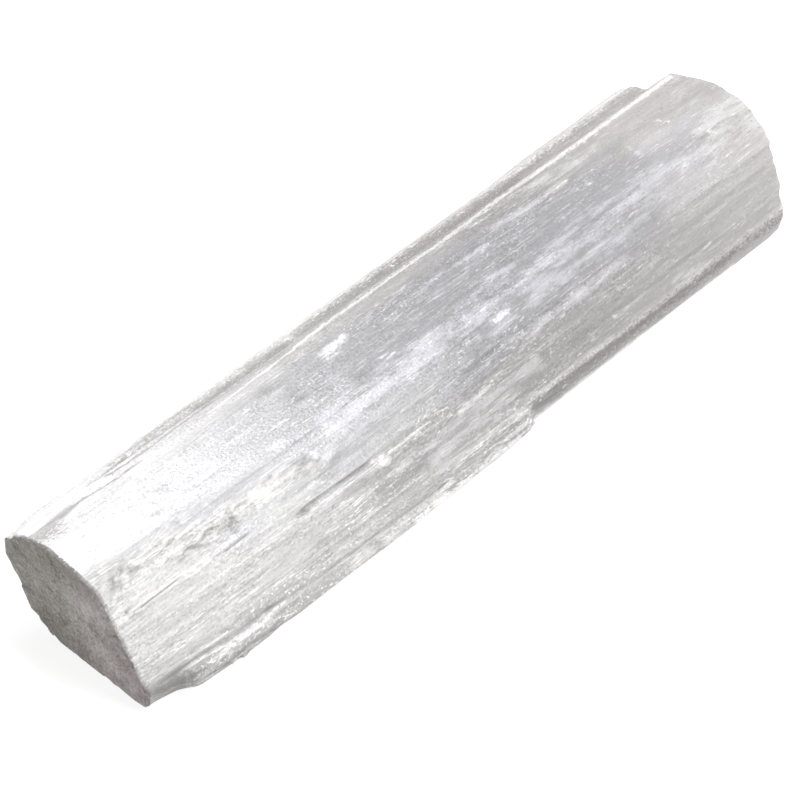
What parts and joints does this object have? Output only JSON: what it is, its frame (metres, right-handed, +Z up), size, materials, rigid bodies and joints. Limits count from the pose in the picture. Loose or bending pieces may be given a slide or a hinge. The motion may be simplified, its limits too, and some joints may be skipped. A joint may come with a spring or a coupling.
{
  "type": "raw selenite stick",
  "caption": "Raw selenite stick: a long fibrous white gypsum prism, split along its grain, with a flat underside, ledges along both sides and sawn ends.",
  "frame": {"origin": "under the middle of the stick, on the surface that it rests on", "axes": "+X along the fibres from the sawn end to the far end, +Z up, +Y towards the long left ledge"},
  "size_m": [0.1046, 0.0258, 0.0142],
  "materials": {
    "selenite": "silky satin, translucent white with fibrous streaks"
  },
  "bodies": {
    "root": {"selenite_stick": "selenite"}
  },
  "joints": []
}
